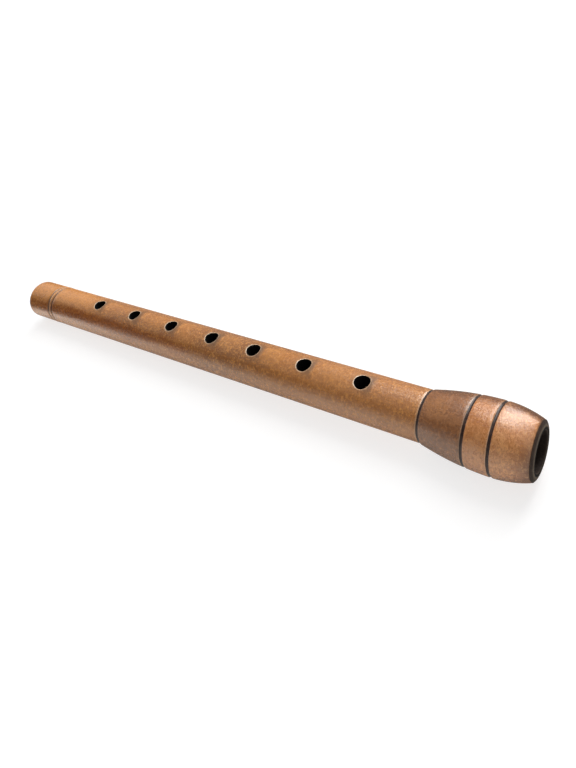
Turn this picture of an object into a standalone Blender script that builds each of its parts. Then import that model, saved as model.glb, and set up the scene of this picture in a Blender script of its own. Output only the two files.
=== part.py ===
# The wooden body of a mey: a bored tube with finger holes, a stacked head with three dark
# rings, and a bush that lines the reed socket. The bore runs along +X, from the foot to the
# mouth, and the finger holes face +Z. The origin is on the bore, halfway along the instrument.

import math

import bmesh
import bpy
from mathutils import Vector

MM = 0.001

# Clearance that touching pieces keep, along the bore and round it
SEAT_GAP = 0.3 * MM

# Tube
TUBE_LENGTH = 265.3 * MM
TUBE_DIAMETER = 22.0 * MM
BORE_DIAMETER = 8.6 * MM
FOOT_ROUNDING = 1.0 * MM
BORE_CHAMFER = 0.5 * MM

# Two engraved lines near the foot, with a bead between them
FOOT_LINE_DISTANCES = (19.9 * MM, 23.0 * MM)
FOOT_LINE_WIDTH = 0.8 * MM
FOOT_LINE_DEPTH = 0.25 * MM
BEAD_HEIGHT = 0.08 * MM

# Finger holes from the foot up: the place of each as a share of the tube's length, because
# a pipe's tuning follows its length, and its drill
FINGER_HOLES = (
    (0.238, 6.4 * MM),
    (0.351, 6.4 * MM),
    (0.460, 6.5 * MM),
    (0.569, 6.8 * MM),
    (0.671, 6.8 * MM),
    (0.782, 6.9 * MM),
    (0.896, 7.1 * MM),
)
THUMB_HOLE = (0.839, 6.9 * MM)
HOLE_CHAMFER = 0.35 * MM

# Head: ring, cone, ring, band, ring, dome and rim, one after the other along the bore
RING_WIDTH = 1.1 * MM
RING_RECESS = 0.08 * MM
CONE_LENGTH = 17.7 * MM
BAND_LENGTH = 8.6 * MM
DOME_LENGTH = 13.3 * MM
HEAD_DIAMETER = 29.4 * MM
MOUTH_DIAMETER = 23.4 * MM
SECTION_CHAMFER = 0.2 * MM

# Mouth rim and reed socket. The rim is flat next to the socket, and falls back from there as a
# low cone. The sleeve that lines the socket stands on the end of the tube's spigot, by the
# width of its seat, and the rest of that end is the socket's floor
RIM_HEIGHT = 0.9 * MM
RIM_FLAT = 1.1 * MM
SOCKET_MOUTH_DIAMETER = 16.0 * MM
SOCKET_FLOOR_DIAMETER = 14.2 * MM
SOCKET_DEPTH = 20.6 * MM
SOCKET_CHAMFER = 0.4 * MM
SLEEVE_WALL = 1.2 * MM
SLEEVE_SEAT = 1.2 * MM

# Facets round each turned piece, points round each drilled hole and along each outline
TURN_STEPS = 48
HOLE_POINTS = 24
ARC_POINTS = 5
CONE_POINTS = 7
BAND_POINTS = 5
DOME_POINTS = 9

# Points of a turned profile closer than this become one, and an edge that bends more stays sharp
MERGE_DISTANCE = 0.01 * MM
SHARP_ANGLE = math.radians(30)

# Radii that follow from the sizes above
TUBE_RADIUS = TUBE_DIAMETER / 2
BORE_RADIUS = BORE_DIAMETER / 2
HEAD_RADIUS = HEAD_DIAMETER / 2
MOUTH_RADIUS = MOUTH_DIAMETER / 2
SOCKET_MOUTH_RADIUS = SOCKET_MOUTH_DIAMETER / 2
SOCKET_FLOOR_RADIUS = SOCKET_FLOOR_DIAMETER / 2
SLEEVE_RADIUS = SOCKET_MOUTH_RADIUS + SLEEVE_WALL
SPIGOT_RADIUS = SOCKET_FLOOR_RADIUS + SLEEVE_SEAT

# Places along the bore, measured from the foot, each piece a seat gap after the last
LOWER_RING_START = TUBE_LENGTH + SEAT_GAP
CONE_START = LOWER_RING_START + RING_WIDTH + SEAT_GAP
MIDDLE_RING_START = CONE_START + CONE_LENGTH + SEAT_GAP
BAND_START = MIDDLE_RING_START + RING_WIDTH + SEAT_GAP
UPPER_RING_START = BAND_START + BAND_LENGTH + SEAT_GAP
DOME_START = UPPER_RING_START + RING_WIDTH + SEAT_GAP
RIM_START = DOME_START + DOME_LENGTH + SEAT_GAP
TOTAL_LENGTH = RIM_START + RIM_HEIGHT
SPIGOT_END = TOTAL_LENGTH - SOCKET_DEPTH
HEAD_WIDEST = BAND_START + BAND_LENGTH

COLLECTION_NAME = "mey"


def clear_scene():
    for obj in list(bpy.data.objects):
        bpy.data.objects.remove(obj, do_unlink=True)


def make_collection(name):
    collection = bpy.data.collections.new(name)
    bpy.context.scene.collection.children.link(collection)
    return collection


def make_material(name, colour, roughness):
    material = bpy.data.materials.new(name)
    material.use_nodes = True
    shader = material.node_tree.nodes["Principled BSDF"]
    shader.inputs["Base Color"].default_value = (*colour, 1.0)
    shader.inputs["Roughness"].default_value = roughness
    shader.inputs["Metallic"].default_value = 0.0
    return material


# Head outline

def arc_drop(run, length, drop):
    """How far a circular arc has fallen after run, if it starts level and falls by drop over length."""
    radius = (length ** 2 + drop ** 2) / (2 * drop)
    return radius - math.sqrt(radius ** 2 - run ** 2)


def head_radius(place):
    """The head's outer radius: two arcs, level where they meet at the widest place."""
    if place < HEAD_WIDEST:
        rise = HEAD_RADIUS - TUBE_RADIUS
        return HEAD_RADIUS - arc_drop(HEAD_WIDEST - place, HEAD_WIDEST - TUBE_LENGTH, rise)
    fall = HEAD_RADIUS - MOUTH_RADIUS
    return HEAD_RADIUS - arc_drop(place - HEAD_WIDEST, RIM_START - HEAD_WIDEST, fall)


def outline_between(start, end, points):
    """Points on the head's outline from end down to start, as (radius, place)."""
    places = [end + (start - end) * i / (points - 1) for i in range(points)]
    return [(head_radius(place), place) for place in places]


def quarter_round(centre, radii, start_degrees, points):
    """Points on a quarter ellipse round centre, as (radius, place), turning clockwise."""
    result = []
    for i in range(points):
        angle = math.radians(start_degrees - 90 * i / (points - 1))
        result.append((centre[0] + radii[0] * math.cos(angle), centre[1] + radii[1] * math.sin(angle)))
    return result


# Turned pieces

def turn(name, profile, material, axis, collection):
    """A closed (radius, place) profile turned round the bore. Its outer side runs down."""
    mesh = bpy.data.meshes.new(name)
    vertices = [(radius, 0.0, place - TOTAL_LENGTH / 2) for radius, place in profile]
    edges = [(i, (i + 1) % len(vertices)) for i in range(len(vertices))]
    mesh.from_pydata(vertices, edges, [])
    mesh.materials.append(material)
    obj = bpy.data.objects.new(name, mesh)
    collection.objects.link(obj)
    obj.parent = axis
    obj.rotation_euler = (0.0, 0.0, math.pi / TURN_STEPS)
    screw = obj.modifiers.new("turn", "SCREW")
    screw.axis = "Z"
    screw.angle = math.tau
    screw.steps = TURN_STEPS
    screw.render_steps = TURN_STEPS
    screw.use_merge_vertices = True
    screw.merge_threshold = MERGE_DISTANCE
    return obj


def foot_line(distance):
    """One engraved line, as three points from its upper edge to its lower edge."""
    half = FOOT_LINE_WIDTH / 2
    return [
        (TUBE_RADIUS, distance + half),
        (TUBE_RADIUS - FOOT_LINE_DEPTH, distance),
        (TUBE_RADIUS, distance - half),
    ]


def tube_profile():
    low_line, high_line = FOOT_LINE_DISTANCES
    rounding = (FOOT_ROUNDING, FOOT_ROUNDING)
    foot_edge = quarter_round((TUBE_RADIUS - FOOT_ROUNDING, FOOT_ROUNDING), rounding, 0, ARC_POINTS)
    return [
        (SPIGOT_RADIUS - BORE_CHAMFER, SPIGOT_END),
        (SPIGOT_RADIUS, SPIGOT_END - BORE_CHAMFER),
        (SPIGOT_RADIUS, TUBE_LENGTH),
        (TUBE_RADIUS - SECTION_CHAMFER, TUBE_LENGTH),
        (TUBE_RADIUS, TUBE_LENGTH - SECTION_CHAMFER),
        *foot_line(high_line),
        (TUBE_RADIUS + BEAD_HEIGHT, (low_line + high_line) / 2),
        *foot_line(low_line),
        *foot_edge,
        (BORE_RADIUS + BORE_CHAMFER, 0.0),
        (BORE_RADIUS, BORE_CHAMFER),
        (BORE_RADIUS, SPIGOT_END),
    ]


def hole_cutter(name, share, diameter, side, collection):
    """A drill with a chamfering collar that follows the tube's round surface.

    Its rings are circles seen from above, and each is lifted onto a cylinder round the bore,
    so the chamfer keeps one width all the way round the hole. side is 1 for +Z and -1 for -Z.
    """
    centre = share * TUBE_LENGTH - TOTAL_LENGTH / 2
    radius = diameter / 2
    collar = radius + 2 * HOLE_CHAMFER
    clear_above = TUBE_RADIUS + radius

    def lifted(ring_radius, height):
        ring = []
        for i in range(HOLE_POINTS):
            angle = math.tau * i / HOLE_POINTS
            across = ring_radius * math.sin(angle)
            up = math.sqrt(TUBE_RADIUS ** 2 - across ** 2) + height
            ring.append(Vector((centre + ring_radius * math.cos(angle), across, side * up)))
        return ring

    def flat(ring_radius, up):
        ring = lifted(ring_radius, 0.0)
        for point in ring:
            point.z = side * up
        return ring

    rings = [
        flat(radius, 0.0),
        lifted(radius, -HOLE_CHAMFER),
        lifted(collar, HOLE_CHAMFER),
        flat(collar, clear_above),
    ]
    mesh = bpy.data.meshes.new(name)
    shape = bmesh.new()
    loops = [[shape.verts.new(point) for point in ring] for ring in rings]
    for lower, upper in zip(loops, loops[1:]):
        for i in range(HOLE_POINTS):
            j = (i + 1) % HOLE_POINTS
            shape.faces.new((lower[i], lower[j], upper[j], upper[i]))
    shape.faces.new(loops[0])
    shape.faces.new(loops[-1])
    bmesh.ops.recalc_face_normals(shape, faces=shape.faces)
    shape.to_mesh(mesh)
    shape.free()
    cutter = bpy.data.objects.new(name, mesh)
    cutter.hide_render = True
    cutter.display_type = "WIRE"
    collection.objects.link(cutter)


def make_tube(material, axis, collection, cutters):
    tube = turn("body_tube", tube_profile(), material, axis, collection)
    for number, (share, diameter) in enumerate(FINGER_HOLES, start=1):
        hole_cutter(f"finger_drill_{number}", share, diameter, 1, cutters)
    hole_cutter("thumb_drill", *THUMB_HOLE, -1, cutters)
    drilled = tube.modifiers.new("holes", "BOOLEAN")
    drilled.operation = "DIFFERENCE"
    drilled.operand_type = "COLLECTION"
    drilled.collection = cutters
    drilled.solver = "EXACT"


def make_ring(name, start, inner_radius, material, axis, collection):
    """A dark ring, a hair below the wood on both sides, with a softly crowned outside."""
    end = start + RING_WIDTH
    middle = (start + end) / 2
    edge_drop = RING_RECESS + SECTION_CHAMFER
    turn(
        name,
        [
            (head_radius(end) - edge_drop, end),
            (head_radius(end - SECTION_CHAMFER) - RING_RECESS, end - SECTION_CHAMFER),
            (head_radius(middle) - RING_RECESS / 2, middle),
            (head_radius(start + SECTION_CHAMFER) - RING_RECESS, start + SECTION_CHAMFER),
            (head_radius(start) - edge_drop, start),
            (inner_radius, start),
            (inner_radius, end),
        ],
        material,
        axis,
        collection,
    )


def section_outside(start, end, points):
    """A head section's outer side from end down to start, with its two edges broken."""
    low = start + SECTION_CHAMFER
    high = end - SECTION_CHAMFER
    return [
        (head_radius(end) - SECTION_CHAMFER, end),
        *outline_between(low, high, points),
        (head_radius(start) - SECTION_CHAMFER, start),
    ]


def make_cone(material, axis, collection):
    end = CONE_START + CONE_LENGTH
    hole = SPIGOT_RADIUS + SEAT_GAP
    profile = section_outside(CONE_START, end, CONE_POINTS) + [(hole, CONE_START), (hole, end)]
    turn("head_cone", profile, material, axis, collection)


def make_band(material, axis, collection):
    """The band is stepped inside: spigot below, sleeve above, and the step seats the sleeve."""
    end = BAND_START + BAND_LENGTH
    profile = section_outside(BAND_START, end, BAND_POINTS) + [
        (SPIGOT_RADIUS + SEAT_GAP, BAND_START),
        (SPIGOT_RADIUS + SEAT_GAP, SPIGOT_END),
        (SLEEVE_RADIUS + SEAT_GAP, SPIGOT_END),
        (SLEEVE_RADIUS + SEAT_GAP, end),
    ]
    turn("head_band", profile, material, axis, collection)


def make_dome(material, axis, collection):
    end = DOME_START + DOME_LENGTH
    hole = SLEEVE_RADIUS + SEAT_GAP
    profile = section_outside(DOME_START, end, DOME_POINTS) + [(hole, DOME_START), (hole, end)]
    turn("head_dome", profile, material, axis, collection)


def make_bush(material, axis, collection):
    """The mouth rim with the sleeve that lines the tapered reed socket."""
    sleeve_end = SPIGOT_END + SEAT_GAP
    socket_edge = SOCKET_MOUTH_RADIUS + SOCKET_CHAMFER
    profile = [
        (socket_edge + RIM_FLAT, TOTAL_LENGTH),
        (MOUTH_RADIUS - SECTION_CHAMFER, RIM_START + SECTION_CHAMFER),
        (MOUTH_RADIUS, RIM_START),
        (SLEEVE_RADIUS, RIM_START),
        (SLEEVE_RADIUS, sleeve_end),
        (SOCKET_FLOOR_RADIUS, sleeve_end),
        (SOCKET_MOUTH_RADIUS, TOTAL_LENGTH - SOCKET_CHAMFER),
        (socket_edge, TOTAL_LENGTH),
    ]
    turn("mouth_bush", profile, material, axis, collection)


def shade(objects):
    """Swap each piece's modifiers for their result, smooth but for its real edges."""
    depsgraph = bpy.context.evaluated_depsgraph_get()
    finished = [(obj, bpy.data.meshes.new_from_object(obj.evaluated_get(depsgraph))) for obj in objects]
    for obj, mesh in finished:
        obj.modifiers.clear()
        obj.data = mesh
        mesh.shade_smooth()
        mesh.set_sharp_from_angle(angle=SHARP_ANGLE)


def main():
    clear_scene()
    collection = make_collection(COLLECTION_NAME)
    cutters = make_collection(COLLECTION_NAME + "_cutters")
    axis = bpy.data.objects.new("bore_axis", None)
    axis.rotation_euler = (0.0, math.pi / 2, 0.0)
    collection.objects.link(axis)

    tube_wood = make_material("tube_wood", (0.36, 0.15, 0.055), 0.42)
    cone_wood = make_material("cone_wood", (0.25, 0.115, 0.055), 0.38)
    band_wood = make_material("band_wood", (0.33, 0.14, 0.055), 0.40)
    dome_wood = make_material("dome_wood", (0.37, 0.17, 0.085), 0.36)
    ring_black = make_material("ring_black", (0.022, 0.019, 0.018), 0.25)
    bush_dark = make_material("bush_dark", (0.035, 0.030, 0.024), 0.35)

    make_tube(tube_wood, axis, collection, cutters)
    spigot_hole = SPIGOT_RADIUS + SEAT_GAP
    sleeve_hole = SLEEVE_RADIUS + SEAT_GAP
    make_ring("lower_ring", LOWER_RING_START, spigot_hole, ring_black, axis, collection)
    make_cone(cone_wood, axis, collection)
    make_ring("middle_ring", MIDDLE_RING_START, spigot_hole, ring_black, axis, collection)
    make_band(band_wood, axis, collection)
    make_ring("upper_ring", UPPER_RING_START, sleeve_hole, ring_black, axis, collection)
    make_dome(dome_wood, axis, collection)
    make_bush(bush_dark, axis, collection)
    shade([obj for obj in collection.objects if obj.type == "MESH"])


main()
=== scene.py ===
# The looks of the mey: finely turned and drilled pieces in place of the plain CAD nodes, wood,
# horn and painted-shade materials, a pale floor, soft studio light and the photograph's camera.
# The bore runs along +X, from the foot to the mouth, and the finger holes face +Z, as in the CAD
# frame.

import math

import bmesh
import bpy
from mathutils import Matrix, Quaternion, Vector


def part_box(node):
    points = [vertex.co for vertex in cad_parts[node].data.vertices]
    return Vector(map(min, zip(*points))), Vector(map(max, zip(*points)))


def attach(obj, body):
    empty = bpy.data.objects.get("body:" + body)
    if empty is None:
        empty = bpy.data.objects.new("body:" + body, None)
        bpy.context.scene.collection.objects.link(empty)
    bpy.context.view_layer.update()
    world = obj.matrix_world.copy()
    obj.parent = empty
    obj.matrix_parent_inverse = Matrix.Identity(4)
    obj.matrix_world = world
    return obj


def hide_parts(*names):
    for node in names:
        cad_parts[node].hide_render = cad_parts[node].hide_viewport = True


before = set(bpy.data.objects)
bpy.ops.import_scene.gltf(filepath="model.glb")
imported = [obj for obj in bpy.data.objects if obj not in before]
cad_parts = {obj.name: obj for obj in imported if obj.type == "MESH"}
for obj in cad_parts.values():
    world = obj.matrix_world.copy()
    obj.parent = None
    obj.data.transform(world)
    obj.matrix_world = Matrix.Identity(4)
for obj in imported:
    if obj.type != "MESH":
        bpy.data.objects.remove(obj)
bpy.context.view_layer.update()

MM = 0.001

# Sizes of the turned wood
TUBE_RADIUS = 11.0 * MM
BORE_RADIUS = 4.3 * MM
SPIGOT_RADIUS = 8.3 * MM
HEAD_RADIUS = 14.7 * MM
MOUTH_RADIUS = 11.7 * MM
SLEEVE_RADIUS = 9.2 * MM
SOCKET_MOUTH_RADIUS = 8.0 * MM
SOCKET_FLOOR_RADIUS = 7.1 * MM
RIM_HEIGHT = 0.9 * MM
RIM_FLAT = 1.1 * MM
SEAT_GAP = 0.3 * MM

# Two engraved lines near the foot, with a bead between them
FOOT_LINE_DISTANCES = (19.9 * MM, 23.0 * MM)
FOOT_LINE_HALF_WIDTH = 0.8 * MM
FOOT_LINE_DEPTH = 0.5 * MM
FOOT_LINE_SHARPNESS = 1.3
BEAD_HEIGHT = 0.12 * MM

# Holes, foot end first: how far each centre is from the foot, and its radius
FINGER_HOLES = (
    (63.14 * MM, 3.2 * MM),
    (93.12 * MM, 3.2 * MM),
    (122.04 * MM, 3.25 * MM),
    (150.96 * MM, 3.4 * MM),
    (178.02 * MM, 3.4 * MM),
    (207.46 * MM, 3.45 * MM),
    (237.71 * MM, 3.55 * MM),
)
THUMB_HOLE = (222.59 * MM, 3.45 * MM)
HOLE_RIM = 0.45 * MM

# Rounded edges of the turned pieces
FOOT_ROUNDING = 1.1 * MM
BORE_ROUNDING = 0.4 * MM
FOOTWARD_ROUNDING = 0.25 * MM
SOCKET_ROUNDING = 0.4 * MM

# The mouth rim: how far its crest falls and over what width, and the bevel at its foot
CREST_DROP = 0.15 * MM
CREST_WIDTH = 0.45 * MM
RIM_BEVEL = 0.15 * MM

# The gap between a head section and what it sits on, and how close two points are to be one
HAIR = 0.01 * MM
WELD_DISTANCE = HAIR / 10

# Each dark ring is a little wider than its CAD node, and reaches the wood on both sides
RING_SPREAD = 0.05 * MM

# The wood falls to each ring on its foot side in a soft shoulder: its length and its drop, and
# how long it stays nearly level, as a share of its length
TUBE_SHOULDER = (0.65 * MM, 0.24 * MM)
HEAD_SHOULDER = (0.5 * MM, 0.2 * MM)
SHOULDER_FLAT = 0.12

# The ring goes on falling to its bottom, and rises again to the next section: shares of the way
# across it, and of its drop there
RING_DROP = 0.16 * MM
RING_COVE = ((0.0, 0.0), (0.15, 0.45), (0.3, 0.8), (0.45, 1.0), (0.6, 1.0), (0.8, 0.7), (1.0, 0.1))

# Facets round the bore, points along a quarter round, and steps along the other forms. Only the
# first steps of a hole's rim are pale.
TURN_STEPS = 96
ARC_STEPS = 6
PALE_RIM_STEPS = 2
FOOT_LINE_STEPS = 4
BEAD_STEPS = 4
SOCKET_STEPS = 8
OUTLINE_STEP = 0.9 * MM
FOOT_STEP = 1.2 * MM
TUBE_STEP = 2.0 * MM
BORE_STEP = 6.0 * MM

# A hole's patch, in facets: half its width round the tube and round the bore, and half its
# length along each, so that both patches have as many points round the hole
PATCH_AROUND_TUBE = 9
PATCH_AROUND_BORE = 18
PATCH_ALONG_TUBE = 14
PATCH_ALONG_BORE = 5
PATCH_HALF_LENGTH = 6.4 * MM

# The rows of points in a hole's patch: shares of the way from the patch's border to the rim,
# down the wall, and from the wall's foot to the border in the bore
SKIN_SHARES = (0.0, 0.2, 0.4, 0.55, 0.7, 0.8, 0.9, 1.0)
WALL_SHARES = (0.15, 0.4, 0.7, 1.0)
BORE_SHARES = (0.35, 0.7, 1.0)

# Wear and painted highlight, from 0 for none to 1: the shoulders before the rings, the holes'
# rims and the mouth rim's crest are pale partly as painted highlights. The part of a hole's rim
# that faces the foot is the palest, a painted highlight.
FOOT_WEAR = 0.35
BEAD_WEAR = 0.2
TUBE_SHOULDER_WEAR_AND_HIGHLIGHT = 0.4
HEAD_SHOULDER_WEAR_AND_HIGHLIGHT = 0.25
FOOTWARD_WEAR = 0.1
HOLE_WEAR_AND_HIGHLIGHT = 0.5
HOLE_HIGHLIGHT_FOOTWARD = 0.5
RIM_FOOT_WEAR = 0.1
CREST_WEAR_AND_HIGHLIGHT = 0.7
SOCKET_EDGE_WEAR = 0.3

# Soot and painted shade, from 0 for none to 1: the engraved lines are sooty, while the bore, the
# holes' inner rims and walls and the reed socket are painted dark where shade falls. A face with
# this much or more at all its corners gets the painted shade of the inside.
INSIDE_SHADE_LEVEL = 0.75
ENGRAVED_SOOT = 0.76
HOLE_RIM_SHADE = 0.9
SOCKET_SHADE = 0.35
BUSH_FACE_SOOT = 0.9

# How much faster the soot of an engraved line grows than its depth, until it is full
ENGRAVED_SPREAD = 1.2

# The darkening beside a hole: how it grows towards the rim, how strong it is all round, how much
# stronger it is towards the head, and what is left of it where the rim starts
DARKENING_GROWTH = 0.9
DARKENING_ALL_ROUND = 0.16
DARKENING_HEADWARD = 0.6
DARKENING_ON_RIM = 0.6

# Painted shade on the near side of the last stretch before the mouth rim, and a thin dark line there
RIM_SHADE_LENGTH = 8.0 * MM
RIM_SHADE_ANGLE = math.radians(-65)
RIM_SHADE_STRENGTH = 0.58
RIM_DARK_LINE = 0.6 * MM
RIM_DARK_LINE_STRENGTH = 0.5


def span(node):
    """Where a CAD node starts and ends along the bore."""
    low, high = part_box(node)
    return low.x, high.x


FOOT = span("body_tube")[0]
SPIGOT_END = span("body_tube")[1]
MOUTH = span("mouth_bush")[1]
RIM_START = MOUTH - RIM_HEIGHT
TUBE_END = span("lower_ring")[0] - SEAT_GAP
HEAD_WIDEST = span("head_band")[1]
LINES_START = FOOT + FOOT_LINE_DISTANCES[0] - FOOT_LINE_HALF_WIDTH
LINES_END = FOOT + FOOT_LINE_DISTANCES[1] + FOOT_LINE_HALF_WIDTH
ANGLES = [math.tau * i / TURN_STEPS for i in range(TURN_STEPS)]


def groove(ring):
    """Start and end of the groove that a dark ring shows in."""
    start, end = span(ring)
    return start - RING_SPREAD, end + RING_SPREAD


# Outline of the head

def arc_drop(run, length, drop):
    """How far a circular arc has fallen after run, if it starts level and falls by drop over length."""
    radius = (length ** 2 + drop ** 2) / (2 * drop)
    return radius - math.sqrt(radius ** 2 - run ** 2)


def head_radius(place):
    """Outer radius of the tube and head at a place along the bore."""
    if place <= TUBE_END:
        return TUBE_RADIUS
    if place < HEAD_WIDEST:
        run = HEAD_WIDEST - place
        return HEAD_RADIUS - arc_drop(run, HEAD_WIDEST - TUBE_END, HEAD_RADIUS - TUBE_RADIUS)
    run = min(place, RIM_START) - HEAD_WIDEST
    return HEAD_RADIUS - arc_drop(run, RIM_START - HEAD_WIDEST, HEAD_RADIUS - MOUTH_RADIUS)


def quarter(centre, rounding, start, end, wear_and_highlight=0.0):
    """Points (place, radius, wear) on a quarter circle; its middle is the most worn."""
    points = []
    for i in range(ARC_STEPS + 1):
        share = i / ARC_STEPS
        angle = math.radians(start + (end - start) * share)
        place = centre[0] + rounding * math.cos(angle)
        radius = centre[1] + rounding * math.sin(angle)
        points.append((place, radius, wear_and_highlight * math.sin(math.pi * share)))
    return points


def shoulder(end, size, wear_and_highlight):
    """Points (place, radius, wear and highlight) on the soft shoulder that ends a piece on its mouth
    side, where its paleness is partly a painted highlight.
    """
    length, drop = size
    flat = SHOULDER_FLAT
    points = []
    for i in range(1, 2 * ARC_STEPS + 1):
        share = i / (2 * ARC_STEPS)
        place = end - length * (1 - share)
        fall = drop * (math.hypot(share, flat) - flat) / (math.hypot(1.0, flat) - flat)
        points.append((place, head_radius(place) - fall, wear_and_highlight * share))
    return points


def outline(start, end):
    """Points along the head's outline, ends left out."""
    count = max(2, round((end - start) / OUTLINE_STEP))
    places = [start + (end - start) * i / count for i in range(1, count)]
    return [(place, head_radius(place), 0.0) for place in places]


def section(start, end, inner, edge_wear_and_highlight):
    """Closed profile of one head section, rounded towards the foot and soft towards the mouth."""
    low = start + FOOTWARD_ROUNDING
    centre = (low, head_radius(low) - FOOTWARD_ROUNDING)
    return [
        (start, inner, 0.0),
        *quarter(centre, FOOTWARD_ROUNDING, 180, 90, FOOTWARD_WEAR),
        *outline(low, end - HEAD_SHOULDER[0]),
        *shoulder(end, HEAD_SHOULDER, edge_wear_and_highlight),
        (end, inner, 0.0),
    ]


# Mesh building

SHARP_ANGLE = math.radians(40)


class Skin:
    """Vertices and faces of one piece, with a value of wear and painted highlight and one of soot and
    painted shade for each vertex.
    """

    def __init__(self):
        self.points = []
        self.wear_and_highlight = []
        self.soot_and_shade = []
        self.faces = []

    def loop(self, points, wear_and_highlight, soot_and_shade):
        """Adds a row of vertices and gives their numbers. Wear and highlight, and soot and shade, are
        each one value, or one each.
        """
        first = len(self.points)
        self.points += points
        self.wear_and_highlight += wear_and_highlight if isinstance(wear_and_highlight, list) else [wear_and_highlight] * len(points)
        self.soot_and_shade += soot_and_shade if isinstance(soot_and_shade, list) else [soot_and_shade] * len(points)
        return list(range(first, len(self.points)))

    def quad(self, one, other, i):
        """The face between two closed rows of as many vertices, at one step."""
        j = (i + 1) % len(one)
        self.faces.append((one[i], one[j], other[j], other[i]))

    def bridge(self, one, other):
        """All the faces between two closed rows of as many vertices."""
        for i in range(len(one)):
            self.quad(one, other, i)


def placed(name, data):
    """A new object in the scene that holds this data."""
    thing = bpy.data.objects.new(name, data)
    bpy.context.scene.collection.objects.link(thing)
    return thing


def round_bore(place, radius, angle):
    """The point at an angle round the bore, where 0 is +Z and a quarter turn is +Y."""
    return (place, radius * math.sin(angle), radius * math.cos(angle))


def finish_piece(name, skin, node, material, inside=None):
    """Welds a skin into a mesh object that rides on the body and stands for its CAD node.

    The faces that are dark all over get the inside's material, painted shade, where there is one.
    """
    mesh = bpy.data.meshes.new(name)
    mesh.from_pydata(skin.points, [], skin.faces)
    mesh.materials.append(material)
    if inside is not None:
        mesh.materials.append(inside)
        for face, corners in zip(mesh.polygons, skin.faces):
            face.material_index = int(min(skin.soot_and_shade[i] for i in corners) >= INSIDE_SHADE_LEVEL)
    for label, values in (("wear_and_highlight", skin.wear_and_highlight), ("soot_and_shade", skin.soot_and_shade)):
        attribute = mesh.attributes.new(label, "FLOAT", "POINT")
        attribute.data.foreach_set("value", values)
    shape = bmesh.new()
    shape.from_mesh(mesh)
    bmesh.ops.remove_doubles(shape, verts=shape.verts, dist=WELD_DISTANCE)
    bmesh.ops.recalc_face_normals(shape, faces=shape.faces)
    shape.to_mesh(mesh)
    shape.free()
    mesh.shade_smooth()
    mesh.set_sharp_from_angle(angle=SHARP_ANGLE)
    piece = placed(name, mesh)
    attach(piece, "root")
    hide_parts(node)


def clean(place, radius):
    """No soot or painted shade anywhere."""
    return 0.0


def turned(profile, soot_and_shade=clean):
    """A closed profile of (place, radius, wear and highlight) points turned round the bore."""
    skin = Skin()
    rows = []
    for place, radius, wear_and_highlight in profile:
        row = [round_bore(place, radius, angle) for angle in ANGLES]
        rows.append(skin.loop(row, wear_and_highlight, soot_and_shade(place, radius)))
    for one, other in zip(rows, rows[1:] + rows[:1]):
        skin.bridge(one, other)
    return skin


# The drilled tube

def patch_border(along, around):
    """Steps (along, around) on a patch's border, from the middle of its low side, one lap."""
    border = [(i, -around) for i in range(along)]
    border += [(along, j) for j in range(-around, around)]
    border += [(-i, around) for i in range(-along, along)]
    border += [(-along, -j) for j in range(-around, around)]
    border += [(i, -around) for i in range(-along, 0)]
    return border


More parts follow.
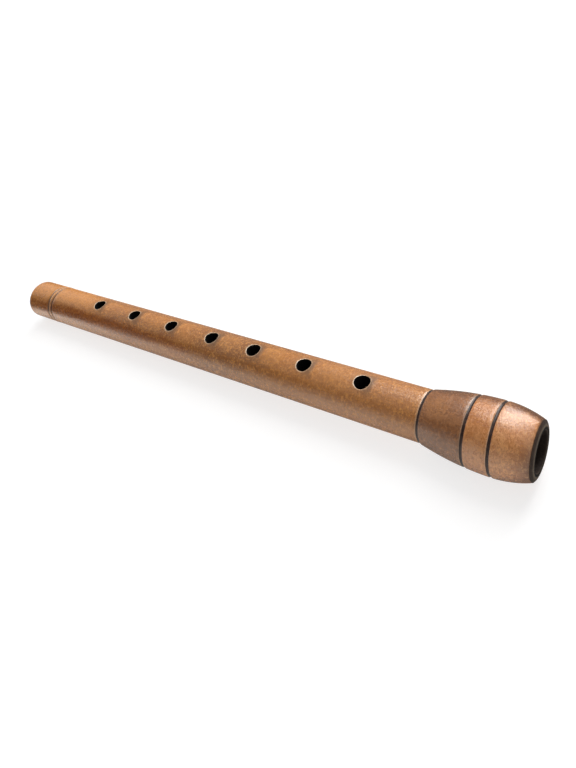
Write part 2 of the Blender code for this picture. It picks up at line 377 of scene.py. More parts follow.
def hole_skin(skin, place, radius, facing):
    """The skin round one hole: from the tube's patch over the rounded rim, down to the bore.

    A row is a list of (place, angle, distance) triples round the hole, seen from its own side.
    """
    facet = math.tau / TURN_STEPS
    tube_border = patch_border(PATCH_ALONG_TUBE, PATCH_AROUND_TUBE)
    bore_border = patch_border(PATCH_ALONG_BORE, PATCH_AROUND_BORE)
    count = len(tube_border)
    headings = [math.tau * i / count - math.pi / 2 for i in range(count)]

    def circle(ring_radius, shell_radius, depth=0.0):
        """A circle seen from above, lifted onto the shell and then lowered."""
        ring = []
        for heading in headings:
            along = place + ring_radius * math.cos(heading)
            across = ring_radius * math.sin(heading)
            up = math.sqrt(shell_radius ** 2 - across ** 2) - depth
            ring.append((along, math.atan2(across, up), math.hypot(across, up)))
        return ring

    def edge(border, steps, shell_radius):
        step = PATCH_HALF_LENGTH / steps
        return [(place + i * step, j * facet, shell_radius) for i, j in border]

    def blend(outer, inner, share):
        return [tuple(a + (b - a) * share for a, b in zip(p, q)) for p, q in zip(outer, inner)]

    def wall(share):
        """A ring of the straight wall, a share of the way down to the bore."""
        ring = []
        for (along, angle, distance), (_, low_angle, low_distance) in zip(wall_top, wall_foot):
            across = distance * math.sin(angle)
            up = (1 - share) * distance * math.cos(angle) + share * low_distance * math.cos(low_angle)
            ring.append((along, math.atan2(across, up), math.hypot(across, up)))
        return ring

    def place_row(row, wear_and_highlight, soot_and_shade):
        points = [round_bore(along, distance, angle + facing) for along, angle, distance in row]
        rows.append(skin.loop(points, wear_and_highlight, soot_and_shade))

    rows = []
    tube_edge = edge(tube_border, PATCH_ALONG_TUBE, TUBE_RADIUS)
    bore_edge = edge(bore_border, PATCH_ALONG_BORE, BORE_RADIUS)
    rim_start = circle(radius + HOLE_RIM, TUBE_RADIUS)
    wall_top = circle(radius, TUBE_RADIUS, HOLE_RIM)
    wall_foot = circle(radius, BORE_RADIUS)
    headward = [max(0.0, math.cos(heading)) for heading in headings]
    footward = [max(0.0, -math.cos(heading)) for heading in headings]
    for share in SKIN_SHARES:
        on_rim = share == 1.0
        grown = share ** DARKENING_GROWTH
        darkening = [grown * (DARKENING_ALL_ROUND + DARKENING_HEADWARD * ahead) for ahead in headward]
        if on_rim:
            darkening = [DARKENING_ON_RIM * soot_and_shade for soot_and_shade in darkening]
        place_row(blend(tube_edge, rim_start, share), HOLE_WEAR_AND_HIGHLIGHT if on_rim else 0.0, darkening)
    for i in range(1, ARC_STEPS + 1):
        angle = math.pi / 2 * i / ARC_STEPS
        ring_radius = radius + HOLE_RIM * (1 - math.sin(angle))
        ring = circle(ring_radius, TUBE_RADIUS, HOLE_RIM * (1 - math.cos(angle)))
        # The rim's first steps are pale, partly wear and partly a painted highlight that is strongest on
        # the foot side; the rest of the rim darkens into the hole as painted shade
        if i <= PALE_RIM_STEPS:
            place_row(ring, [HOLE_WEAR_AND_HIGHLIGHT + HOLE_HIGHLIGHT_FOOTWARD * behind for behind in footward], 0.0)
        else:
            place_row(ring, 0.0, HOLE_RIM_SHADE)
    # Painted shade down the hole's wall and into the bore
    for share in WALL_SHARES:
        place_row(wall(share), 0.0, 1.0)
    for share in BORE_SHARES:
        place_row(blend(wall_foot, bore_edge, share), 0.0, 1.0)
    for one, other in zip(rows, rows[1:]):
        skin.bridge(one, other)


def stations(start, end, patches, steps, spacing):
    """Places along the tube: even steps in each hole's patch, and about one per spacing between."""
    places = [start]
    for centre in sorted(patches) + [None]:
        stop = end if centre is None else centre - PATCH_HALF_LENGTH
        count = max(1, round((stop - places[-1]) / spacing))
        first = places[-1]
        places += [first + (stop - first) * i / count for i in range(1, count + 1)]
        if centre is not None:
            places += [stop + 2 * PATCH_HALF_LENGTH * i / (2 * steps) for i in range(1, 2 * steps + 1)]
    return places


def foot_line(distance):
    """Points (place, radius, wear) of one engraved line, a rounded groove."""
    points = []
    for i in range(-FOOT_LINE_STEPS, FOOT_LINE_STEPS + 1):
        share = i / FOOT_LINE_STEPS
        depth = FOOT_LINE_DEPTH * math.cos(math.pi / 2 * share) ** FOOT_LINE_SHARPNESS
        points.append((FOOT + distance + share * FOOT_LINE_HALF_WIDTH, TUBE_RADIUS - depth, 0.0))
    return points


def foot_bead():
    """Points (place, radius, wear) of the bead between the engraved lines."""
    low_line, high_line = FOOT_LINE_DISTANCES
    middle = FOOT + (low_line + high_line) / 2
    half = (high_line - low_line) / 2 - FOOT_LINE_HALF_WIDTH
    points = []
    for i in range(1 - BEAD_STEPS, BEAD_STEPS):
        lift = BEAD_HEIGHT * math.cos(math.pi / 2 * i / BEAD_STEPS) ** 2
        points.append((middle + half * i / BEAD_STEPS, TUBE_RADIUS + lift, BEAD_WEAR))
    return points


def tube_outside(centres):
    """Points (place, radius, wear and highlight) from the foot's inner edge to the spigot's inner edge."""
    round_start = FOOT + FOOT_ROUNDING
    ring_start = groove("lower_ring")[0]
    shoulder_start = ring_start - TUBE_SHOULDER[0]
    foot_places = stations(round_start, LINES_START, [], 0, FOOT_STEP)
    tube_places = stations(LINES_END, shoulder_start, centres, PATCH_ALONG_TUBE, TUBE_STEP)
    inner_edge = (FOOT + BORE_ROUNDING, BORE_RADIUS + BORE_ROUNDING)
    outer_edge = (round_start, TUBE_RADIUS - FOOT_ROUNDING)
    return [
        *quarter(inner_edge, BORE_ROUNDING, 270, 180),
        *quarter(outer_edge, FOOT_ROUNDING, 180, 90, FOOT_WEAR),
        *((place, TUBE_RADIUS, 0.0) for place in foot_places[1:-1]),
        *foot_line(FOOT_LINE_DISTANCES[0]),
        *foot_bead(),
        *foot_line(FOOT_LINE_DISTANCES[1]),
        *((place, TUBE_RADIUS, 0.0) for place in tube_places[1:]),
        *shoulder(ring_start, TUBE_SHOULDER, TUBE_SHOULDER_WEAR_AND_HIGHLIGHT),
        (ring_start, SPIGOT_RADIUS, 0.0),
        (SPIGOT_END - BORE_ROUNDING, SPIGOT_RADIUS, 0.0),
        (SPIGOT_END, SPIGOT_RADIUS - BORE_ROUNDING, 0.0),
        (SPIGOT_END, BORE_RADIUS + BORE_ROUNDING, 0.0),
        (SPIGOT_END - BORE_ROUNDING, BORE_RADIUS, 0.0),
    ]


def tube_bore(centres):
    """Points (place, radius, wear) down the bore, from the spigot to the foot, ends left out."""
    start = FOOT + BORE_ROUNDING
    end = SPIGOT_END - BORE_ROUNDING
    places = stations(start, end, centres, PATCH_ALONG_BORE, BORE_STEP)
    return [(place, BORE_RADIUS, 0.0) for place in reversed(places[1:-1])]


def tube_soot_and_shade(place, radius):
    """The bore and the tube's ends get painted shade, and the engraved lines soot by their depth."""
    if radius < SPIGOT_RADIUS - BORE_ROUNDING:
        return 1.0
    if LINES_START < place < LINES_END:
        depth = max(0.0, TUBE_RADIUS - radius)
        return ENGRAVED_SOOT * min(1.0, ENGRAVED_SPREAD * depth / FOOT_LINE_DEPTH)
    return 0.0


def drilled(holes, middle, radius, step):
    """Whether a hole's patch takes the place of the facet at this place and step."""
    reach = PATCH_AROUND_TUBE if radius > SPIGOT_RADIUS else PATCH_AROUND_BORE
    for centre, _, facing in holes:
        turn = round(facing / math.tau * TURN_STEPS)
        offset = (step - turn + TURN_STEPS // 2) % TURN_STEPS - TURN_STEPS // 2
        if abs(middle - centre) < PATCH_HALF_LENGTH and -reach <= offset < reach:
            return True
    return False


def make_tube(material, bore_material):
    """The tube: a skin outside, a skin in the bore, and between them the walls of its holes."""
    holes = [(FOOT + distance, radius, 0.0) for distance, radius in FINGER_HOLES]
    holes.append((FOOT + THUMB_HOLE[0], THUMB_HOLE[1], math.pi))
    centres = [centre for centre, _, _ in holes]
    skin = Skin()
    rows = []
    for place, radius, wear_and_highlight in tube_outside(centres) + tube_bore(centres):
        row = [round_bore(place, radius, angle) for angle in ANGLES]
        rows.append((place, radius, skin.loop(row, wear_and_highlight, tube_soot_and_shade(place, radius))))
    for (low, radius, row), (high, next_radius, next_row) in zip(rows, rows[1:] + rows[:1]):
        on_skin = radius == next_radius and radius in (TUBE_RADIUS, BORE_RADIUS)
        for i in range(TURN_STEPS):
            if not (on_skin and drilled(holes, (low + high) / 2, radius, i)):
                skin.quad(row, next_row, i)
    for centre, radius, facing in holes:
        hole_skin(skin, centre, radius, facing)
    finish_piece("turned_tube", skin, "body_tube", material, bore_material)


# The head

def make_section(name, node, slot, start, end, inner, material, edge_wear_and_highlight=HEAD_SHOULDER_WEAR_AND_HIGHLIGHT, darkened_by_rim=False):
    """A head section. The last stretch before the mouth rim may get painted shade on its near side."""

    def soot_and_shade(place, radius):
        """Painted shade on the near side of the last stretch, and a thin dark line at its end."""
        if not darkened_by_rim or radius < inner + HAIR:
            return 0.0
        line = RIM_DARK_LINE_STRENGTH * max(0.0, 1 - (end - place) / RIM_DARK_LINE)
        rim_shade = RIM_SHADE_STRENGTH * max(0.0, 1 - (end - place) / RIM_SHADE_LENGTH) ** 2
        return [max(line, rim_shade * max(0.0, math.cos(angle - RIM_SHADE_ANGLE))) for angle in ANGLES]

    profile = section(start + HAIR, end - HAIR, inner, edge_wear_and_highlight)
    finish_piece(name, turned(profile, soot_and_shade), node, material)


def make_ring(node, inner, material):
    """A dark ring, which goes on falling from the shoulder before it and then rises again."""
    start, end = groove(node)
    before = (TUBE_SHOULDER if node == "lower_ring" else HEAD_SHOULDER)[1]
    profile = [(start, inner, 0.0)]
    for share, fall in RING_COVE:
        place = start + (end - start) * share
        profile.append((place, head_radius(place) - before - RING_DROP * fall, 0.0))
    profile.append((end, inner, 0.0))
    finish_piece("turned_" + node, turned(profile), node, material)


def make_bush(material, socket_material):
    """The mouth rim, with a pale line on its crest, partly wear and partly a painted highlight, and the
    sleeve that lines the reed socket.
    """
    start = RIM_START - SEAT_GAP / 2
    sleeve_end = span("mouth_bush")[0]
    flat_inner = SOCKET_MOUTH_RADIUS + SOCKET_ROUNDING
    flat_outer = flat_inner + RIM_FLAT
    crest_edge = flat_outer + CREST_WIDTH
    socket_edge = (MOUTH - SOCKET_ROUNDING, flat_inner)

    profile = [
        (start, SLEEVE_RADIUS, 0.0),
        (start, MOUTH_RADIUS - RIM_BEVEL, 0.0),
        (RIM_START, MOUTH_RADIUS, RIM_FOOT_WEAR),
    ]
    for i in range(1, ARC_STEPS + 1):
        share = i / ARC_STEPS
        place = RIM_START + (RIM_HEIGHT - CREST_DROP) * math.sin(math.pi / 2 * share)
        radius = MOUTH_RADIUS + (crest_edge - MOUTH_RADIUS) * share
        profile.append((place, radius, CREST_WEAR_AND_HIGHLIGHT * share ** 5))
    profile += [
        (MOUTH - CREST_DROP / 3, flat_outer + CREST_WIDTH * 0.4, CREST_WEAR_AND_HIGHLIGHT),
        (MOUTH, flat_outer, CREST_WEAR_AND_HIGHLIGHT),
        (MOUTH, flat_outer - CREST_WIDTH, CREST_WEAR_AND_HIGHLIGHT / 2),
        *quarter(socket_edge, SOCKET_ROUNDING, 0, -90, SOCKET_EDGE_WEAR),
    ]
    for i in range(1, SOCKET_STEPS + 1):
        share = i / SOCKET_STEPS
        place = socket_edge[0] + (sleeve_end - socket_edge[0]) * share
        radius = SOCKET_MOUTH_RADIUS + (SOCKET_FLOOR_RADIUS - SOCKET_MOUTH_RADIUS) * share
        profile.append((place, radius, 0.0))
    profile.append((sleeve_end, SLEEVE_RADIUS, 0.0))

    def soot_and_shade(place, radius):
        """The face inside the crest is dark, and the socket gets painted shade, darker down to half its
        depth.
        """
        if radius < flat_inner:
            depth = (MOUTH - place) / (MOUTH - sleeve_end)
            return SOCKET_SHADE + (1 - SOCKET_SHADE) * min(1.0, 2 * depth)
        return BUSH_FACE_SOOT if radius < flat_outer - CREST_WIDTH / 2 else 0.0

    skin = turned(profile, soot_and_shade)
    finish_piece("turned_mouth_bush", skin, "mouth_bush", material, socket_material)


# Node trees

WHITE = (1.0, 1.0, 1.0, 1.0)


class Nodes:
    """A node tree, with short ways to add and join nodes."""

    def __init__(self, tree):
        self.tree = tree

    def node(self, kind, settings=None, **inputs):
        """A node with its settings, and inputs that are values or other nodes' outputs."""
        node = self.tree.nodes.new(kind)
        for key, value in (settings or {}).items():
            setattr(node, key, value)
        for key, value in inputs.items():
            self.feed(node.inputs[key.replace("_", " ")], value)
        return node

    def feed(self, socket, value):
        """Links or sets a socket."""
        if isinstance(value, bpy.types.NodeSocket):
            self.tree.links.new(value, socket)
        else:
            socket.default_value = value

    def chain(self, node, *values):
        """Feeds a node's first inputs in their order, and gives its first output."""
        for i, value in enumerate(values):
            self.feed(node.inputs[i], value)
        return node.outputs[0]

    def math(self, operation, one, other=0.0):
        return self.chain(self.node("ShaderNodeMath", {"operation": operation}), one, other)

    def ramp(self, value, low, high, bottom=0.0, top=1.0, shape="SMOOTHSTEP"):
        """Value from low to high becomes bottom to top, and stays there outside."""
        node = self.node("ShaderNodeMapRange", {"interpolation_type": shape}, Value=value)
        for key, number in (("From Min", low), ("From Max", high), ("To Min", bottom), ("To Max", top)):
            node.inputs[key].default_value = number
        return node.outputs["Result"]

    def broken_line(self, value, stops):
        """Value becomes brightness along straight lines from stop to stop."""
        total = None
        for (low, before), (high, after) in zip(stops, stops[1:]):
            start = before if total is None else 0.0
            rise = self.ramp(value, low, high, start, start + after - before, "LINEAR")
            total = rise if total is None else self.math("ADD", total, rise)
        return total

    def length(self, vector):
        node = self.node("ShaderNodeVectorMath", {"operation": "LENGTH"}, Vector=vector)
        return node.outputs["Value"]

    def place(self):
        """Object coordinates, in metres."""
        return self.node("ShaderNodeTexCoord").outputs["Object"]


# Materials

# Paleness of wear and of painted highlights, on wood and on horn
WORN_AND_HIGHLIT_WOOD = (0.80, 0.60, 0.40)
WORN_AND_HIGHLIT_HORN = (0.20, 0.15, 0.10)
# Near black: soot in the engraved lines, and painted shade in the bore, the holes and the socket
SOOT_AND_SHADE_COLOUR = (0.008, 0.006, 0.005)
BORE_SHADE_COLOURS = ((0.003, 0.003, 0.003), (0.012, 0.010, 0.009))

# What soot and painted shade, and wear and painted highlight, do to the roughness, and how grey
# the full wear and highlight of horn is
SOOT_ROUGHNESS = 0.4
WEAR_POLISH = 0.25
LEAST_ROUGHNESS = 0.1
HORN_GREY = 0.85

# A patch of colour: the scale of the noise that is added to the distance from its middle, and
# the sums of the two, in its reach, where it is gone and where it is full
PATCH_NOISE = (0.12, 0.12, 0.12)
PATCH_FADE = (1.6, 0.8)

# The patterns in wood: scale for each axis per millimetre, detail, roughness and distortion
BLOTCH = ((0.035, 0.06, 0.06), 4.0, 0.6, 0.5)
STREAK = ((0.06, 0.9, 0.9), 4.0, 0.6, 0.3)
CURL = ((0.42, 0.16, 0.16), 3.0, 0.6, 1.2)
MOTTLE = ((0.5, 0.7, 0.7), 5.0, 0.75, 0.4)
FLECK = ((1.35, 0.8, 0.8), 2.0, 0.75, 0.6)
PORE = ((0.5, 5.0, 5.0), 2.0, 0.6)

# The patterns in the bore's painted shade and in horn, in the same way
BORE_SHADE_PATTERN = ((0.4, 1.2, 1.2), 3.0, 0.6)
HORN_STREAK = ((0.5, 0.9, 0.9), 3.0, 0.6, 0.5)
SCRATCH = ((6.0, 1.1, 1.1), 3.0, 0.7)

# How high the relief of each pattern is
FLECK_HEIGHT = 0.11 * MM
PORE_HEIGHT = 0.02 * MM
MOTTLE_HEIGHT = 0.12 * MM
BORE_PATTERN_HEIGHT = 0.05 * MM
SCRATCH_HEIGHT = 0.01 * MM

# Painted shade on the sides away from the light: an angle round the bore, the cosines of the
# distance from it between which the painted shade comes in, and how strong it is
PAINTED_SIDE_SHADE = ((-5, 0.95, 0.75, 0.4), (60, 0.68, 0.95, 0.6), (-115, 0.86, 1.0, 0.65))
PAINTED_SIDE_SHADE_FACTOR = 0.55


class Graph(Nodes):
    """A material's node tree."""

    def __init__(self, name):
        self.material = bpy.data.materials.new(name)
        self.material.use_nodes = True
        super().__init__(self.material.node_tree)
        self.shader = self.tree.nodes["Principled BSDF"]

    def mapped(self, scale):
        """Object coordinates in millimetres times a scale for each axis."""
        size = tuple(s / MM for s in scale)
        return self.node("ShaderNodeMapping", Vector=self.place(), Scale=size).outputs["Vector"]

    def noise(self, scale, detail=3.0, roughness=0.5, distortion=0.0):
        node = self.node("ShaderNodeTexNoise", Vector=self.mapped(scale), Scale=1.0, Detail=detail)
        node.inputs["Roughness"].default_value = roughness
        node.inputs["Distortion"].default_value = distortion
        return node.outputs["Fac"]

    def mix(self, factor, one, other, blend="MIX"):
        """Mixes two colours, each a triple or another node's output."""
        node = self.node("ShaderNodeMix", {"data_type": "RGBA", "blend_type": blend})
        self.feed(node.inputs["Factor"], factor)
        for name, value in (("A", one), ("B", other)):
            socket = next(s for s in node.inputs if s.name == name and s.type == "RGBA")
            self.feed(socket, (*value, 1.0) if isinstance(value, tuple) else value)
        return next(s for s in node.outputs if s.type == "RGBA")

    def attribute(self, name):
        return self.node("ShaderNodeAttribute", {"attribute_name": name}).outputs["Fac"]

    def patch(self, place, angle, along, around, share):
        """A share in the middle of an oval patch, fading to 0 with an uneven border."""
        middle = round_bore(place, TUBE_RADIUS / MM, math.radians(angle))
        scale = (1 / along, 1 / around, 1 / around)
        where = self.mapped(scale)
        where.node.inputs["Location"].default_value = tuple(-m * s for m, s in zip(middle, scale))
        far = self.math("ADD", self.length(where), self.noise(PATCH_NOISE))
        return self.math("MULTIPLY", self.ramp(far, *PATCH_FADE), share)

    def facing(self, angle):
        """The cosine of how far a point lies round the bore from an angle, 0 being +Z."""
        flat = self.node("ShaderNodeVectorMath", {"operation": "MULTIPLY"})
        unit = self.node("ShaderNodeVectorMath", {"operation": "NORMALIZE"})
        along = self.node("ShaderNodeVectorMath", {"operation": "DOT_PRODUCT"})
        outward = self.chain(unit, self.chain(flat, self.place(), (0.0, 1.0, 1.0)))
        self.chain(along, outward, round_bore(0.0, 1.0, math.radians(angle)))
        return along.outputs["Value"]

    def bump(self, height, distance, strength, normal=None):
        node = self.node("ShaderNodeBump", Height=height, Strength=strength, Distance=distance)
        if normal is not None:
            self.feed(node.inputs["Normal"], normal)
        return node.outputs["Normal"]

    def roughen(self, rough):
        """The roughness, more where there is soot."""
        return self.math("ADD", rough, self.math("MULTIPLY", self.attribute("soot_and_shade"), SOOT_ROUGHNESS))

    def finish(self, colour, rough, normal, level):
        """Feeds the shader, and gives the material. Level is how strongly it mirrors."""
        self.feed(self.shader.inputs["Base Color"], colour)
        self.feed(self.shader.inputs["Roughness"], rough)
        self.feed(self.shader.inputs["Normal"], normal)
        self.shader.inputs["Specular IOR Level"].default_value = level
        return self.material


def wood(name, pale, main, deep, figure, shine, patches=(), painted_shades=(), sheen=(1.0, 0.97, 0.93)):
    """Oiled fruitwood: fine mottling, curl, short pale flecks, pores along the bore, worn edges that
    are partly painted highlights, and painted shade on the sides away from the light.

    figure is how strongly the wood is mottled, shine about how rough it is, and sheen the tint
    of its gloss. Each patch is a place along the bore and an angle round it, its reach along and
    around in millimetres, its share and its colour; some patches paint light and some paint shade.
    A painted shade is given in the same way, and multiplies the figured wood darker where shade falls.
    """
    g = Graph(name)
    blotch, streak, curl, mottle, fleck, pore = (
        g.noise(*pattern) for pattern in (BLOTCH, STREAK, CURL, MOTTLE, FLECK, PORE)
    )
    colour = g.mix(g.ramp(blotch, 0.32, 0.68), main, deep)
    # Painted shade: darker away from the top, on the far side and towards the near underside
    side_shade_colour = tuple(c * PAINTED_SIDE_SHADE_FACTOR for c in deep)
    for angle, low, high, share in PAINTED_SIDE_SHADE:
        colour = g.mix(g.ramp(g.facing(angle), low, high, 0.0, share), colour, side_shade_colour)
    for *where, tint in patches:
        colour = g.mix(g.patch(*where), colour, tint)
    # A pattern, the values between which it comes in, how strongly, and in which colour
    for pattern, low, high, share, tint in (
        (streak, 0.5, 0.75, 0.25, pale),
        (streak, 0.5, 0.28, 0.25, deep),
        (curl, 0.4, 0.7, figure, pale),
        (mottle, 0.5, 0.64, figure + 0.5, pale),
        (mottle, 0.5, 0.36, figure + 0.45, deep),
        (fleck, 0.53, 0.63, 0.85, pale),
        (fleck, 0.46, 0.36, 0.75, deep),
        (pore, 0.36, 0.26, 0.35, deep),
    ):
        colour = g.mix(g.math("MULTIPLY", g.ramp(pattern, low, high), share), colour, tint)
    # Painted shade, multiplied in where shade falls
    for *where, tint in painted_shades:
        colour = g.mix(g.patch(*where), colour, tint, "MULTIPLY")
    # Wear and painted highlight make the wood paler, and soot and painted shade make it near black
    colour = g.mix(g.attribute("wear_and_highlight"), colour, WORN_AND_HIGHLIT_WOOD)
    colour = g.mix(g.attribute("soot_and_shade"), colour, SOOT_AND_SHADE_COLOUR)

    rough = g.ramp(blotch, 0.3, 0.7, shine - 0.04, shine + 0.05)
    rough = g.roughen(g.math("ADD", rough, g.ramp(mottle, 0.3, 0.7, 0.05, -0.04)))
    rough = g.math("SUBTRACT", rough, g.math("MULTIPLY", g.attribute("wear_and_highlight"), WEAR_POLISH))
    rough = g.math("MAXIMUM", rough, LEAST_ROUGHNESS)
    normal = g.bump(fleck, FLECK_HEIGHT, 0.9)
    normal = g.bump(pore, PORE_HEIGHT, 0.5, normal)
    normal = g.bump(mottle, MOTTLE_HEIGHT, 0.9, normal)
    g.shader.inputs["Specular Tint"].default_value = (*sheen, 1.0)
    return g.finish(colour, rough, normal, 1.0)


def painted_bore_shade(name):
    """Painted shade: near-black, oiled wood for the bore, the holes' walls and the reed socket, where
    shade falls inside them.
    """
    g = Graph(name)
    bore_pattern = g.noise(*BORE_SHADE_PATTERN)
    colour = g.mix(g.ramp(bore_pattern, 0.3, 0.8), *BORE_SHADE_COLOURS)
    rough = g.ramp(bore_pattern, 0.3, 0.7, 0.6, 0.85)
    return g.finish(colour, rough, g.bump(bore_pattern, BORE_PATTERN_HEIGHT, 0.6), 0.15)


def horn(name, dark, warm, shine, level):
    """Polished dark horn: faint warm streaks, a scratched gloss and greyer edges, partly worn and
    partly painted highlights.

    shine is about how rough it is, and level how strongly it mirrors.
    """
    g = Graph(name)
    streak = g.noise(*HORN_STREAK)
    scratch = g.noise(*SCRATCH)
    colour = g.mix(g.ramp(streak, 0.35, 0.75), dark, warm)
    colour = g.mix(g.math("MULTIPLY", g.attribute("wear_and_highlight"), HORN_GREY), colour, WORN_AND_HIGHLIT_HORN)
    colour = g.mix(g.attribute("soot_and_shade"), colour, SOOT_AND_SHADE_COLOUR)
    rough = g.roughen(g.ramp(scratch, 0.3, 0.8, shine - 0.06, shine + 0.12))
    return g.finish(colour, rough, g.bump(scratch, SCRATCH_HEIGHT, 0.5), level)


def tube_fruitwood():
    """Orange: gold at the foot, darker in the middle and pinker near the head, with painted shade on
    the near side and painted highlights between the holes.
    """
    gold = (0.62, 0.28, 0.075)
    dark = (0.21, 0.085, 0.035)
    patches = (
        (-130, 5, 50, 20, 0.85, (0.68, 0.27, 0.06)),
        # Painted shade: this patch and the next darken the near side, where shade falls
        (-125, -54, 50, 7, 0.85, (0.25, 0.085, 0.018)),
        (-55, -36, 44, 8, 0.75, dark),
        (6, -6, 34, 28, 0.9, dark),
        # Painted highlights: three pale gold spots between the holes
        (6, 6, 8, 6, 0.35, gold),
        (34, 6, 9, 6, 0.35, gold),
        (69, 6, 11, 7, 0.35, gold),
        (88, 0, 50, 40, 0.5, (0.44, 0.19, 0.08)),
    )
    # Painted shade: the near side multiplied darker and redder, where shade falls
    painted_shades = ((-85, -55, 90, 6, 0.75, (0.70, 0.48, 0.36)),)
    pale = (0.68, 0.30, 0.085)
    main = (0.53, 0.205, 0.045)
    deep = (0.38, 0.135, 0.03)
    return wood("tube_fruitwood", pale, main, deep, 0.05, 0.24, patches, painted_shades, (1.0, 0.94, 0.85))


# Painted light and painted shade that the head's sections share: paler on the near side, where
# the fill light falls, and darker on the far side and underneath, where shade falls
HEAD_PAINTED_LIGHT = (0.72, 0.36, 0.17)
HEAD_PAINTED_SHADE = (0.30, 0.11, 0.05)
FAR_SIDE_PAINTED_SHADE = (0.30, 0.28, 0.33)
UNDERSIDE_PAINTED_SHADE = (0.50, 0.45, 0.42)


def cone_fruitwood():
    """Dark brown, with two gold spots on top, and painted shade on the far side and underneath."""
    gold = (0.48, 0.20, 0.055)
    patches = (
        (118, -8, 7, 6, 0.5, gold),
        (125, -25, 6, 4, 0.35, gold),
        # Painted shade underneath
        (120, -118, 16, 8, 0.7, (0.10, 0.036, 0.015)),
    )
    painted_shades = ((120, 52, 16, 10, 0.5, FAR_SIDE_PAINTED_SHADE),)
    pale = (0.42, 0.18, 0.07)
    main = (0.31, 0.122, 0.04)
    deep = (0.22, 0.082, 0.028)
    return wood("cone_fruitwood", pale, main, deep, 0.08, 0.26, patches, painted_shades)


def band_fruitwood():
    """Orange, with painted light on the near side, and painted shade on the far side and underneath."""
    patches = (
        (135, -75, 14, 12, 0.7, HEAD_PAINTED_LIGHT),
        (135, 48, 12, 8, 0.5, HEAD_PAINTED_SHADE),
        (135, -120, 14, 10, 0.7, HEAD_PAINTED_SHADE),
    )
    painted_shades = (
        (135, 50, 14, 9, 0.8, FAR_SIDE_PAINTED_SHADE),
        (135, -122, 14, 7, 0.4, UNDERSIDE_PAINTED_SHADE),
    )
    pale = (0.70, 0.31, 0.11)
    main = (0.58, 0.21, 0.047)
    deep = (0.42, 0.137, 0.032)
    return wood("band_fruitwood", pale, main, deep, 0.12, 0.24, patches, painted_shades)


def dome_fruitwood():
    """Paler than the band, with painted light on the near side and painted shade on the far side and
    underneath, like it.
    """
    patches = (
        (143, -65, 9, 12, 0.6, HEAD_PAINTED_LIGHT),
        (148, 50, 14, 8, 0.5, HEAD_PAINTED_SHADE),
        (147, -120, 14, 10, 0.8, HEAD_PAINTED_SHADE),
    )
    painted_shades = (
        (148, 48, 16, 9, 0.95, FAR_SIDE_PAINTED_SHADE),
        (147, -117, 14, 7, 0.95, UNDERSIDE_PAINTED_SHADE),
    )
    pale = (0.82, 0.39, 0.145)
    main = (0.64, 0.245, 0.072)
    deep = (0.45, 0.155, 0.045)
    return wood("dome_fruitwood", pale, main, deep, 0.12, 0.22, patches, painted_shades)


# Camera, floor and light

CAMERA_PLACE = Vector((206.72, -134.38, 213.83)) * MM
CAMERA_LOOKS_AT = Vector((0.48, 85.02, 0.0)) * MM
CAMERA_ROLL = math.radians(-19.102)
CAMERA_LENS = 29.7845
CAMERA_SENSOR = 36.0
CAMERA_SHIFT = (-0.03255, -0.17578)
CAMERA_CLIP = (0.01, 20.0)

# Lamps: name, direction, distance, width and height in metres, brightness, and whether it is
# seen in the gloss
LAMPS = (
    ("key_softbox", (-0.1, 0.12, 0.98), 1.3, 1.9, 1.9, 0.85, False),
    ("window_softbox", (0.10, 0.70, 0.70), 1.3, 0.68, 1.69, 6.0, True),
)
WORLD_LIGHT = 0.04

SCREEN_DISTANCE = 1.6
SCREEN_STEPS = 12
SCREEN_COLOUR = (0.02, 0.02, 0.02, 1.0)

# Screens round the object: name, azimuths and elevations in degrees that each goes from and to,
# and its brightness
SCREENS = (
    ("dark_screen_left", 193, 222, -3, 30, 0.0),
    ("dark_screen_middle", 222, 250, 20, 48, 0.0),
    ("dark_screen_right", 250, 310, 28, 55, 0.0),
    ("grey_screen_left", 193, 222, 30, 82, 0.25),
    ("grey_screen_middle", 222, 250, 48, 82, 0.25),
    ("grey_screen_right", 250, 310, 55, 82, 0.25),
    ("low_screen_middle", 222, 250, -3, 20, 0.5),
    ("low_screen_right", 250, 310, -3, 28, 0.4),
    ("back_screen_low", 30, 135, -3, 36, 0.35),
    ("back_screen_middle", 135, 150, -3, 36, 0.45),
    ("back_screen_left", 150, 193, -3, 36, 0.8),
    ("back_screen_high", 30, 193, 36, 82, 0.22),
)

# The floor: half its width, and its colour and its glow where it lights the object
FLOOR_HALF_SIZE = 4.0
FLOOR_COLOUR = (0.8, 0.8, 0.8, 1.0)
FLOOR_FILL = 0.5

# The floor as the camera sees it: its colour, and its glow, which grows between two distances
# from the instrument's middle, so that the floor is white to its edge
FLOOR_SEEN_COLOUR = (0.32, 0.32, 0.32, 1.0)
FLOOR_GLOW_GROWS = (0.45, 1.1)
FLOOR_GLOW = (0.76, 1.0)

# The floor in the gloss, a painted reflection: its colour, and its brightness at places across and
# along it, in metres, dim next to the instrument as painted shadow. Between them it changes
# evenly, and the two are multiplied.
FLOOR_GLOSS_COLOUR = (1.0, 0.94, 0.88)
FLOOR_GLOSS_ACROSS = ((-0.034, 1.2), (-0.018, 0.72), (-0.011, 0.28))
FLOOR_GLOSS_ALONG = (
    (-0.215, 0.05),
    (-0.19, 0.9),
    (-0.175, 1.6),
    (-0.163, 2.1),
    (-0.15, 1.7),
    (-0.13, 1.5),
    (-0.06, 1.0),
    (0.08, 0.95),
    (0.125, 0.75),
)


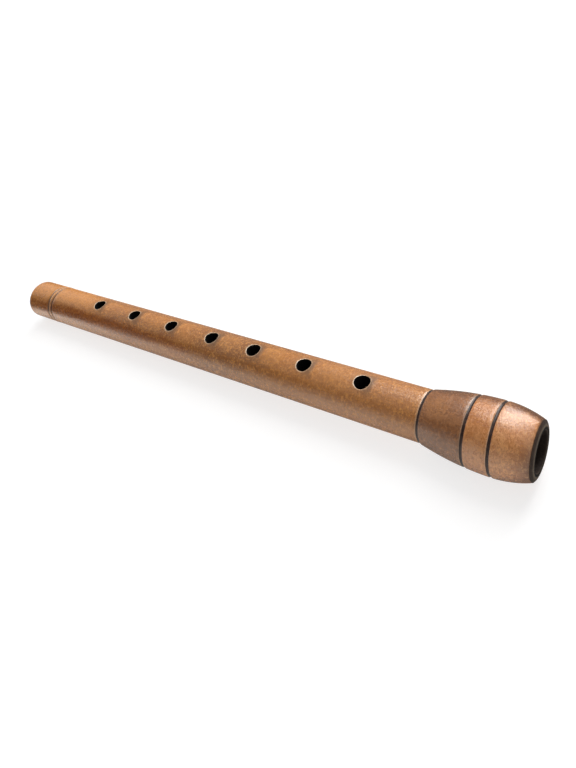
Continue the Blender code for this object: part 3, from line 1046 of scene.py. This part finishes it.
def make_camera():
    data = bpy.data.cameras.new("photo_camera")
    data.lens = CAMERA_LENS
    data.sensor_width = CAMERA_SENSOR
    data.shift_x, data.shift_y = CAMERA_SHIFT
    data.clip_start, data.clip_end = CAMERA_CLIP
    camera = placed("photo_camera", data)
    camera.location = CAMERA_PLACE
    aim = (CAMERA_LOOKS_AT - CAMERA_PLACE).to_track_quat("-Z", "Y")
    camera.rotation_mode = "QUATERNION"
    camera.rotation_quaternion = aim @ Quaternion((0.0, 0.0, 1.0), CAMERA_ROLL)
    bpy.context.scene.camera = camera


def floor_material():
    """White, with the shadow, for the camera. In the gloss it is a painted reflection, bright only on
    the near side.
    """
    material = bpy.data.materials.new("floor_white")
    material.use_nodes = True
    n = Nodes(material.node_tree)
    n.tree.nodes.clear()

    def add(one, other):
        return n.chain(n.node("ShaderNodeAddShader"), one, other)

    def diffuse(colour):
        return n.node("ShaderNodeBsdfDiffuse", Color=colour).outputs[0]

    def emission(strength, colour=WHITE):
        return n.node("ShaderNodeEmission", Color=colour, Strength=strength).outputs[0]

    place = n.place()
    glow = n.ramp(n.length(place), *FLOOR_GLOW_GROWS, *FLOOR_GLOW, "LINEAR")
    sides = n.node("ShaderNodeSeparateXYZ", Vector=place).outputs
    across = n.broken_line(sides["Y"], FLOOR_GLOSS_ACROSS)
    along = n.broken_line(sides["X"], FLOOR_GLOSS_ALONG)
    light = add(diffuse(FLOOR_COLOUR), emission(FLOOR_FILL))
    white = add(diffuse(FLOOR_SEEN_COLOUR), emission(glow))
    mirrored = emission(n.math("MULTIPLY", across, along), (*FLOOR_GLOSS_COLOUR, 1.0))
    rays = n.node("ShaderNodeLightPath").outputs
    seen = light
    for kind, look in (
        ("Is Camera Ray", white),
        ("Is Transmission Ray", white),
        ("Is Glossy Ray", mirrored),
    ):
        seen = n.chain(n.node("ShaderNodeMixShader"), rays[kind], seen, look)
    n.node("ShaderNodeOutputMaterial", Surface=seen)
    return material


def make_floor():
    """A pale floor that the head and the foot both rest on."""
    head_bottom = Vector((HEAD_WIDEST, 0.0, -HEAD_RADIUS))
    foot_bottom = Vector((FOOT + FOOT_ROUNDING, 0.0, -TUBE_RADIUS))
    along = (head_bottom - foot_bottom).normalized() * FLOOR_HALF_SIZE
    across = Vector((0.0, FLOOR_HALF_SIZE, 0.0))
    signs = ((-1, -1), (1, -1), (1, 1), (-1, 1))
    corners = [tuple(head_bottom + along * i + across * j) for i, j in signs]
    mesh = bpy.data.meshes.new("floor")
    mesh.from_pydata(corners, [], [(0, 1, 2, 3)])
    mesh.materials.append(floor_material())
    floor = placed("floor", mesh)


def make_world():
    """White behind everything, and a faint even light on the object."""
    world = bpy.data.worlds.new("studio")
    bpy.context.scene.world = world
    world.use_nodes = True
    n = Nodes(world.node_tree)
    rays = n.node("ShaderNodeLightPath").outputs
    seen = n.math("MAXIMUM", rays["Is Camera Ray"], rays["Is Glossy Ray"])
    seen = n.math("MAXIMUM", seen, rays["Is Transmission Ray"])
    background = n.tree.nodes["Background"]
    background.inputs["Color"].default_value = WHITE
    n.feed(background.inputs["Strength"], n.ramp(seen, 0.0, 1.0, WORLD_LIGHT, 1.0, "LINEAR"))


def make_lamp(name, direction, distance, width, height, radiance, mirrored):
    """A softbox that faces the object from a direction, as bright as its radiance says."""
    data = bpy.data.lights.new(name, "AREA")
    data.shape = "RECTANGLE"
    data.size = width
    data.size_y = height
    data.energy = radiance * math.pi * width * height
    lamp = placed(name, data)
    lamp.location = Vector(direction).normalized() * distance
    lamp.rotation_euler = (-lamp.location).to_track_quat("-Z", "Y").to_euler()
    lamp.visible_camera = False
    lamp.visible_glossy = mirrored


def make_screen(name, first, last, low, high, glow):
    """An upright curved screen, seen only in the gloss.

    It goes from one azimuth to another and from one elevation to another, all in degrees, and
    glow is how bright it is.
    """
    points = []
    for i in range(SCREEN_STEPS + 1):
        angle = math.radians(first + (last - first) * i / SCREEN_STEPS)
        for elevation in (low, high):
            z = SCREEN_DISTANCE * math.tan(math.radians(elevation))
            points.append((SCREEN_DISTANCE * math.cos(angle), SCREEN_DISTANCE * math.sin(angle), z))
    faces = [(2 * i, 2 * i + 1, 2 * i + 3, 2 * i + 2) for i in range(SCREEN_STEPS)]
    mesh = bpy.data.meshes.new(name)
    mesh.from_pydata(points, [], faces)
    screen = placed(name, mesh)
    material = bpy.data.materials.new(name)
    material.use_nodes = True
    shader = material.node_tree.nodes["Principled BSDF"]
    shader.inputs["Base Color"].default_value = SCREEN_COLOUR
    shader.inputs["Roughness"].default_value = 1.0
    shader.inputs["Emission Color"].default_value = WHITE
    shader.inputs["Emission Strength"].default_value = glow
    mesh.materials.append(material)
    screen.visible_camera = False
    screen.visible_diffuse = False
    screen.visible_shadow = False


def make_studio():
    make_camera()
    make_floor()
    make_world()
    for screen in SCREENS:
        make_screen(*screen)
    for lamp in LAMPS:
        make_lamp(*lamp)


def make_mey():
    ring_horn = horn("ring_horn", (0.026, 0.012, 0.009), (0.060, 0.032, 0.022), 0.32, 0.38)
    bush_horn = horn("bush_horn", (0.032, 0.018, 0.012), (0.064, 0.040, 0.027), 0.48, 0.24)
    bore_shade_wood = painted_bore_shade("bore_shade_wood")
    cone_ends = (groove("lower_ring")[1], groove("middle_ring")[0])
    band_ends = (groove("middle_ring")[1], groove("upper_ring")[0])
    dome_ends = (groove("upper_ring")[1], RIM_START - SEAT_GAP / 2)
    on_spigot = SPIGOT_RADIUS + HAIR
    on_sleeve = SLEEVE_RADIUS + HAIR
    make_tube(tube_fruitwood(), bore_shade_wood)
    make_ring("lower_ring", SPIGOT_RADIUS, ring_horn)
    make_section("turned_cone", "head_cone", "cone_wood", *cone_ends, on_spigot, cone_fruitwood())
    make_ring("middle_ring", SPIGOT_RADIUS, ring_horn)
    make_section("turned_band", "head_band", "band_wood", *band_ends, on_sleeve, band_fruitwood())
    make_ring("upper_ring", SLEEVE_RADIUS, ring_horn)
    make_section(
        "turned_dome", "head_dome", "dome_wood", *dome_ends, on_sleeve, dome_fruitwood(),
        edge_wear_and_highlight=0.0, darkened_by_rim=True,
    )
    make_bush(bush_horn, bore_shade_wood)


make_studio()
make_mey()
bpy.context.scene.view_settings.view_transform = "Standard"
